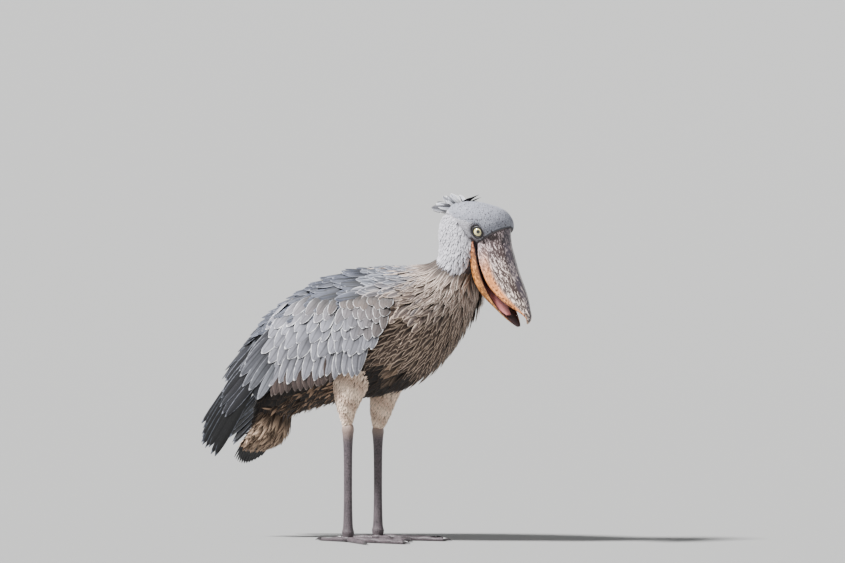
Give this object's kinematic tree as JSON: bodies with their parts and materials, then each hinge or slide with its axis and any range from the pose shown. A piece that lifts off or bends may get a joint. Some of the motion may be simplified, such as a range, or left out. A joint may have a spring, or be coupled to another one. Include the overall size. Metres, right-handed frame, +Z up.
{
  "type": "shoebill",
  "caption": "Life-size shoebill standing at rest with folded wings, a broad hooked bill slightly open and a short crest, as a still museum-style model.",
  "frame": {"origin": "on the floor, under the middle of the bird's bounding box", "axes": "+X the way the body faces, +Y the bird's left, +Z up"},
  "size_m": [0.8412, 0.318, 0.7757],
  "materials": {
    "plumage_body": "layered matte body feathers, grey-brown with pale edges and a dark belly",
    "plumage_neck": "short matte feathers, grey above and streaked buff-brown in front",
    "plumage_head": "very short matte feathers, pale lilac-grey with a darker crown and a pale crest",
    "plumage_wing": "overlapping slate-grey feathers with silvery edges and black flight feathers",
    "plumage_leg": "short soft pinkish-tan feathers",
    "plumage_tail": "stiff black-grey feathers over tan-brown down",
    "bill": "horn with a satin sheen, pinkish cream mottled with dark brown, orange-tan along the edges",
    "mouth": "moist pink tongue and lining",
    "eye": "wet, pale yellow iris with a black pupil",
    "leg_skin": "bare scaled skin, dark purplish grey",
    "claw": "smooth dark horn"
  },
  "bodies": {
    "root": {"torso": "plumage_body", "neck": "plumage_neck", "head": "plumage_head", "bill_upper": "bill", "bill_lower": "bill", "tongue": "mouth", "eye_right": "eye", "eye_left": "eye", "wing_right": "plumage_wing", "wing_left": "plumage_wing", "thigh_right": "plumage_leg", "thigh_left": "plumage_leg", "tail": "plumage_tail", "shank_right": "leg_skin", "foot_right": "leg_skin", "toe_right_middle": "leg_skin", "claw_right_middle": "claw", "toe_right_inner": "leg_skin", "claw_right_inner": "claw", "toe_right_outer": "leg_skin", "claw_right_outer": "claw", "toe_right_hind": "leg_skin", "claw_right_hind": "claw", "shank_left": "leg_skin", "foot_left": "leg_skin", "toe_left_middle": "leg_skin", "claw_left_middle": "claw", "toe_left_inner": "leg_skin", "claw_left_inner": "claw", "toe_left_outer": "leg_skin", "claw_left_outer": "claw", "toe_left_hind": "leg_skin", "claw_left_hind": "claw"}
  },
  "joints": []
}
